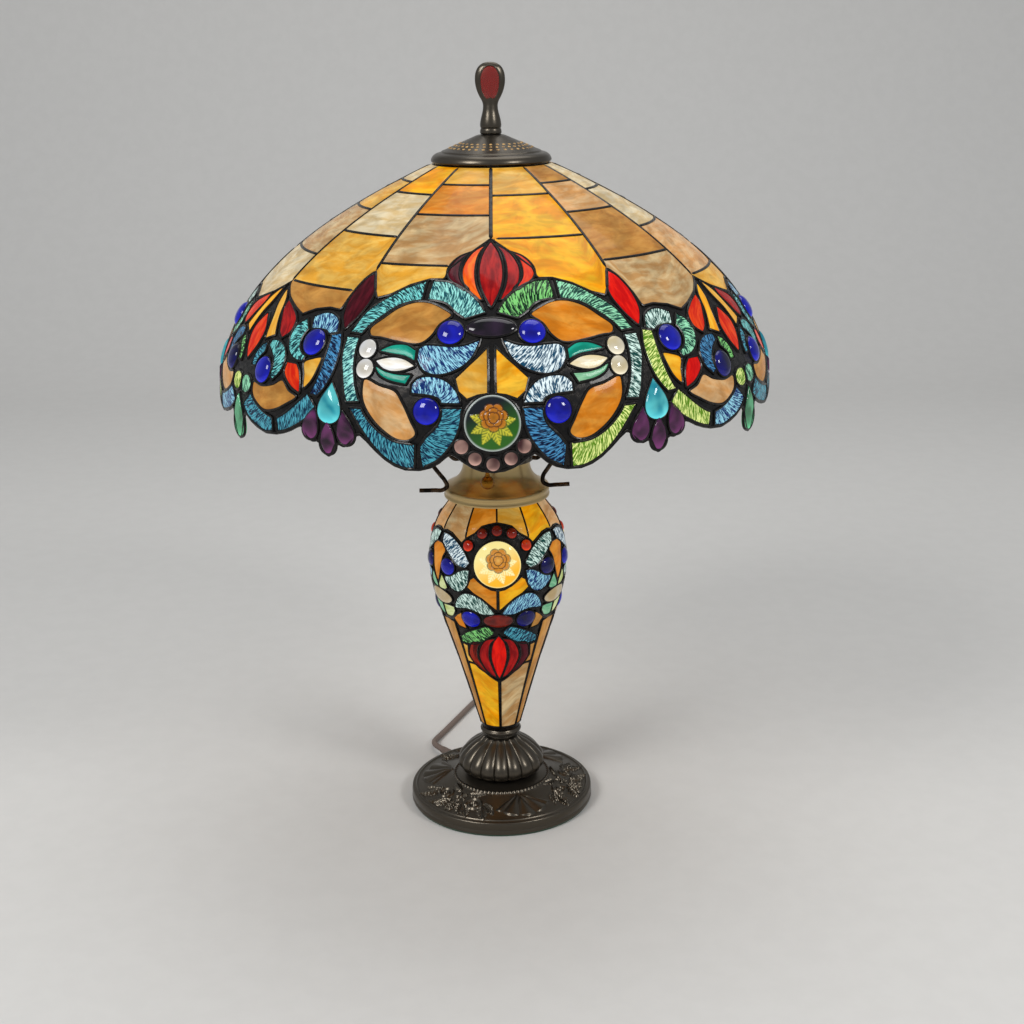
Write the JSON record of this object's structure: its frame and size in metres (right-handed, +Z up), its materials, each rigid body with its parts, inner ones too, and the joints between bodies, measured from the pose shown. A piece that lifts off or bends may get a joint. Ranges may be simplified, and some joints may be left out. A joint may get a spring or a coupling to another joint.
{
  "type": "table lamp",
  "caption": "Double-lit table lamp with a domed leaded glass shade on a mosaic glass urn, a round cast base, pull chains and a coiled power cord.",
  "frame": {"origin": "on the table, under the middle of the round base", "axes": "+Z up the lamp's axis, -Y towards the lamp's front medallion, the cord leaves towards +Y"},
  "size_m": [0.4578, 0.6548, 0.6454],
  "materials": {
    "base_felt": "dark green felt",
    "dark_bronze": "dark antique bronze patina",
    "rod_steel": "plain steel",
    "aged_brass": "aged brass with dark patina",
    "socket_brass": "brass socket shell",
    "socket_ceramic": "white porcelain",
    "bulb_glass": "frosted warm white glass",
    "urn_glass": "opalescent leaded glass, amber, blue and red",
    "shade_glass": "opalescent leaded glass, amber, blue, green and red",
    "medallion_glass": "pale yellow cast glass",
    "red_glass": "deep red glass",
    "cord_vinyl": "grey-brown vinyl"
  },
  "bodies": {
    "lamp_body": {"base_felt": "base_felt", "base_plate": "dark_bronze", "base_dome": "dark_bronze", "collar": "dark_bronze", "cluster_plate": "dark_bronze", "cluster_body": "dark_bronze", "socket_arm_front": "dark_bronze", "socket_arm_back": "dark_bronze", "wire_arm_left": "dark_bronze", "wire_arm_right": "dark_bronze", "base_washer": "rod_steel", "base_nut": "rod_steel", "lower_rod": "rod_steel", "upper_rod": "rod_steel", "night_bracket": "rod_steel", "support_disc": "rod_steel", "urn_seat": "aged_brass", "urn_top_plate": "aged_brass", "urn_cap": "aged_brass", "plug_blade_left": "aged_brass", "plug_blade_right": "aged_brass", "socket_front": "socket_brass", "socket_back": "socket_brass", "night_socket": "socket_ceramic", "bulb_front": "bulb_glass", "bulb_back": "bulb_glass", "night_bulb": "bulb_glass", "urn_panel_1": "urn_glass", "urn_panel_2": "urn_glass", "urn_panel_3": "urn_glass", "urn_panel_4": "urn_glass", "urn_panel_5": "urn_glass", "urn_panel_6": "urn_glass", "strain_relief": "cord_vinyl", "cord_tube": "cord_vinyl", "cord_coil": "cord_vinyl", "plug_body": "cord_vinyl"},
    "shade": {"shade_panel_1": "shade_glass", "shade_panel_2": "shade_glass", "shade_panel_3": "shade_glass", "shade_panel_4": "shade_glass", "shade_panel_5": "shade_glass", "shade_panel_6": "shade_glass", "shade_panel_7": "shade_glass", "shade_panel_8": "shade_glass", "shade_panel_9": "shade_glass", "shade_panel_10": "shade_glass", "shade_panel_11": "shade_glass", "shade_panel_12": "shade_glass", "shade_medallion_1": "medallion_glass", "shade_medallion_2": "medallion_glass", "shade_medallion_3": "medallion_glass", "shade_ring": "aged_brass", "vent_cap": "dark_bronze"},
    "finial": {"finial": "dark_bronze", "finial_glass": "red_glass"},
    "pull_front": {"pull_chain_front": "aged_brass", "pull_ball_front": "aged_brass"},
    "pull_back": {"pull_chain_back": "aged_brass", "pull_ball_back": "aged_brass"}
  },
  "joints": [
    {"name": "shade_turn", "type": "hinge", "parent": "lamp_body", "child": "shade", "pos_m": [0, 0, 0.562], "axis": [0, 0, 1], "continuous": true},
    {"name": "finial_turn", "type": "hinge", "parent": "lamp_body", "child": "finial", "pos_m": [0, 0, 0.59], "axis": [0, 0, 1], "continuous": true},
    {"name": "pull_front_slide", "type": "slide", "parent": "lamp_body", "child": "pull_front", "axis": [0, 0, -1], "range_m": [0, 0.008], "stiffness_N_per_m": 400, "springref_m": -0.002},
    {"name": "pull_back_slide", "type": "slide", "parent": "lamp_body", "child": "pull_back", "axis": [0, 0, -1], "range_m": [0, 0.008], "stiffness_N_per_m": 400, "springref_m": -0.002}
  ]
}
